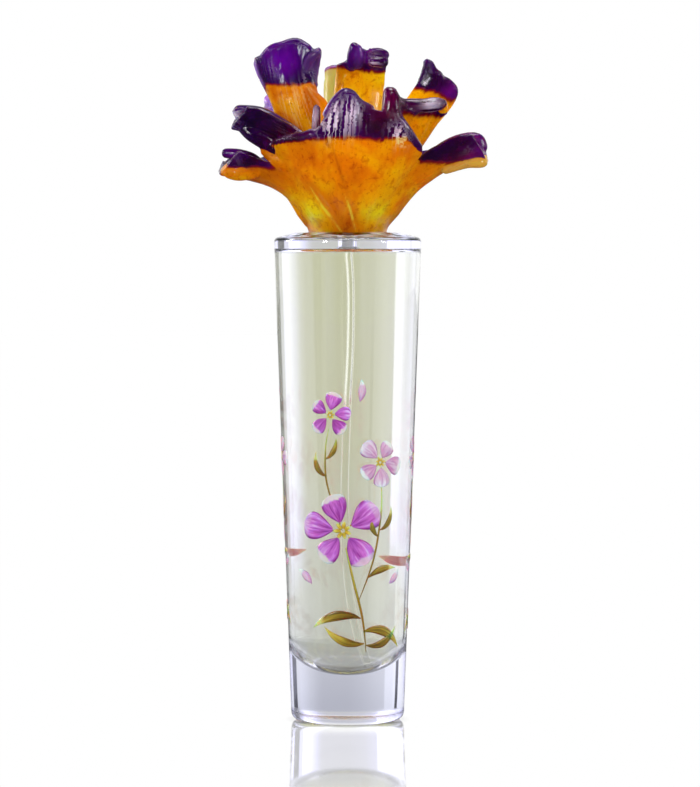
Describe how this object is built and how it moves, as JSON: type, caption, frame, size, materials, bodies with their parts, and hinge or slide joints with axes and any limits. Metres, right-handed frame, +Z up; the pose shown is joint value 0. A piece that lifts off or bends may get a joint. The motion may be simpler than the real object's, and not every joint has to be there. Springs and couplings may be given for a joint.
{
  "type": "perfume bottle with cast-glass bloom stopper",
  "caption": "Tall tapered glass spray bottle, filled, with a solid foot and a cast-glass stopper shaped as an iris bloom.",
  "frame": {"origin": "centre of the flat underside of the bottle's foot, on the bottle's axis", "axes": "+Z up along the bottle's axis, -Y towards the front, +X to the right as seen from the front"},
  "size_m": [0.0797, 0.0576, 0.2033],
  "materials": {
    "clear_glass": "polished clear glass",
    "perfume": "clear pale yellow-green liquid",
    "cast_glass": "satin cast glass, amber with violet rims and fine ridges",
    "gold_aluminium": "satin gold anodised",
    "white_plastic": "moulded white plastic",
    "clear_plastic": "natural translucent plastic",
    "tube_plastic": "natural translucent plastic tube",
    "steel": "bright stainless steel",
    "rubber": "dark rubber"
  },
  "bodies": {
    "bottle_and_stopper": {"bottle": "clear_glass", "perfume": "perfume", "dip_tube": "tube_plastic", "neck_gasket": "rubber", "pump_housing": "white_plastic", "inlet_ball": "steel", "pump_spring": "steel", "ferrule": "gold_aluminium", "stopper_sleeve": "clear_plastic", "bloom_stopper": "cast_glass"},
    "spray_button": {"pump_stem": "white_plastic", "actuator": "gold_aluminium", "nozzle_insert": "white_plastic"}
  },
  "joints": [
    {"name": "pump_press", "type": "slide", "parent": "bottle_and_stopper", "child": "spray_button", "axis": [0, 0, -1], "range_m": [0, 0.0035], "stiffness_N_per_m": 2000, "springref_m": -0.002, "deforming": ["pump_spring"]}
  ]
}
